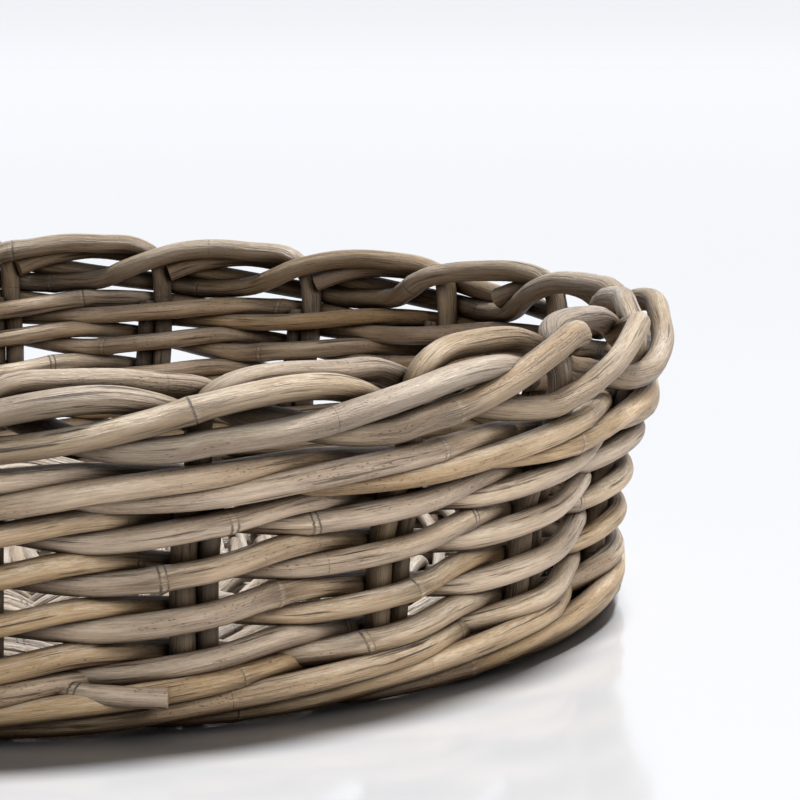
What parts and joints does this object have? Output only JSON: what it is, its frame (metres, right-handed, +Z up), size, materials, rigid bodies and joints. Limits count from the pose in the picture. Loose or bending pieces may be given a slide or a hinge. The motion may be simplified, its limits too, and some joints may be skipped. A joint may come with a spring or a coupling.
{
  "type": "round wicker basket",
  "caption": "Low round open basket woven from greyed rattan canes, with paired stakes, a waled foot and a rolled, plaited-looking border.",
  "frame": {"origin": "on the floor, under the middle of the basket", "axes": "+Z up through the open top; -Y is the front; stakes are counted from the front towards +X"},
  "size_m": [0.3996, 0.3996, 0.0908],
  "materials": {
    "stake_cane": "greyed rattan, dry satin, streaked lengthwise",
    "side_weaver_cane": "greyed rattan, dry satin, streaked lengthwise, with node rings",
    "base_stick_cane": "greyed rattan, dry satin",
    "base_weaver_cane": "thin greyed rattan, dry satin"
  },
  "bodies": {
    "root": {"base_binding": "base_weaver_cane", "base_stick_lower_1": "base_stick_cane", "base_stick_lower_2": "base_stick_cane", "base_stick_lower_3": "base_stick_cane", "base_stick_lower_4": "base_stick_cane", "base_stick_lower_5": "base_stick_cane", "base_stick_upper_1": "base_stick_cane", "base_stick_upper_2": "base_stick_cane", "base_stick_upper_3": "base_stick_cane", "base_stick_upper_4": "base_stick_cane", "base_stick_upper_5": "base_stick_cane", "base_weaver_a": "base_weaver_cane", "base_weaver_b": "base_weaver_cane", "bye_stakes": "stake_cane", "foot_wale_weaver_1": "side_weaver_cane", "foot_wale_weaver_2": "side_weaver_cane", "foot_wale_weaver_3": "side_weaver_cane", "foot_wale_weaver_4": "side_weaver_cane", "row_1_weaver_a": "side_weaver_cane", "row_1_weaver_b": "side_weaver_cane", "row_2_weaver_a": "side_weaver_cane", "row_2_weaver_b": "side_weaver_cane", "row_3_weaver_a": "side_weaver_cane", "row_3_weaver_b": "side_weaver_cane", "row_4_weaver_a": "side_weaver_cane", "row_4_weaver_b": "side_weaver_cane", "stake_01": "stake_cane", "stake_02": "stake_cane", "stake_03": "stake_cane", "stake_04": "stake_cane", "stake_05": "stake_cane", "stake_06": "stake_cane", "stake_07": "stake_cane", "stake_08": "stake_cane", "stake_09": "stake_cane", "stake_10": "stake_cane", "stake_11": "stake_cane", "stake_12": "stake_cane", "stake_13": "stake_cane", "stake_14": "stake_cane", "stake_15": "stake_cane", "stake_16": "stake_cane", "stake_17": "stake_cane", "stake_18": "stake_cane", "stake_19": "stake_cane", "stake_20": "stake_cane", "top_wale_weaver_1": "side_weaver_cane", "top_wale_weaver_2": "side_weaver_cane", "top_wale_weaver_3": "side_weaver_cane"}
  },
  "joints": []
}
